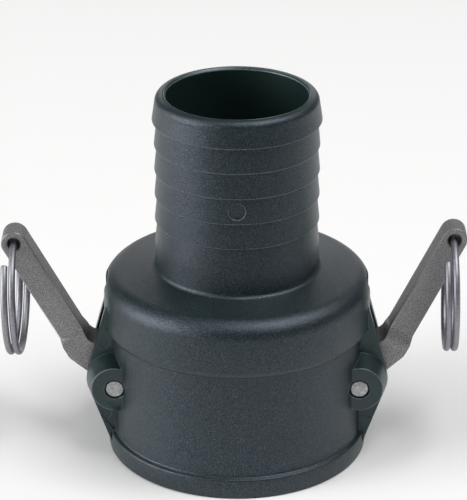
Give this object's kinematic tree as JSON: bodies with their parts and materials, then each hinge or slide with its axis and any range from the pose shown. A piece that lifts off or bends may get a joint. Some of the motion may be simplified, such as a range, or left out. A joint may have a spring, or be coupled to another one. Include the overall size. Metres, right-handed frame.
{
  "type": "cam and groove coupling",
  "caption": "Hose coupling with a round socket, a barbed hose tail, two hinged cam arms with pull rings and a flat gasket.",
  "frame": {"origin": "centre of the socket's lower face, on the axis of the socket and the hose tail", "axes": "+Z along the axis from the socket to the hose tail, X through the two cam arms, -Y towards the viewer"},
  "size_m": [0.1471, 0.0852, 0.1202],
  "materials": {
    "body_plastic": "moulded glass-filled plastic, fine matte grain with a soft sheen",
    "gasket_rubber": "smooth matte rubber",
    "pin_steel": "cut and lightly brushed ends",
    "arm_steel": "cast, blasted, matte and grainy",
    "ring_wire": "drawn bright wire"
  },
  "bodies": {
    "coupler": {"body": "body_plastic", "gasket": "gasket_rubber", "pivot_pin_left": "pin_steel", "pivot_pin_right": "pin_steel"},
    "left_arm": {"cam_arm_left": "arm_steel"},
    "right_arm": {"cam_arm_right": "arm_steel"},
    "left_ring": {"pull_ring_left": "ring_wire"},
    "right_ring": {"pull_ring_right": "ring_wire"}
  },
  "joints": [
    {"name": "left_arm_hinge", "type": "hinge", "parent": "coupler", "child": "left_arm", "pos_m": [-0.0389, 0, 0.0259], "axis": [0, -1, 0], "range_deg": [-26.8, 90]},
    {"name": "right_arm_hinge", "type": "hinge", "parent": "coupler", "child": "right_arm", "pos_m": [0.0389, 0, 0.0259], "axis": [0, 1, 0], "range_deg": [-24.4, 90]},
    {"name": "left_ring_hinge", "type": "hinge", "parent": "left_arm", "child": "left_ring", "pos_m": [-0.0707, 0, 0.07013], "axis": [0, 1, 0], "range_deg": [-15, 150]},
    {"name": "right_ring_hinge", "type": "hinge", "parent": "right_arm", "child": "right_ring", "pos_m": [0.0684, 0, 0.07142], "axis": [0, -1, 0], "range_deg": [-15, 150]}
  ]
}
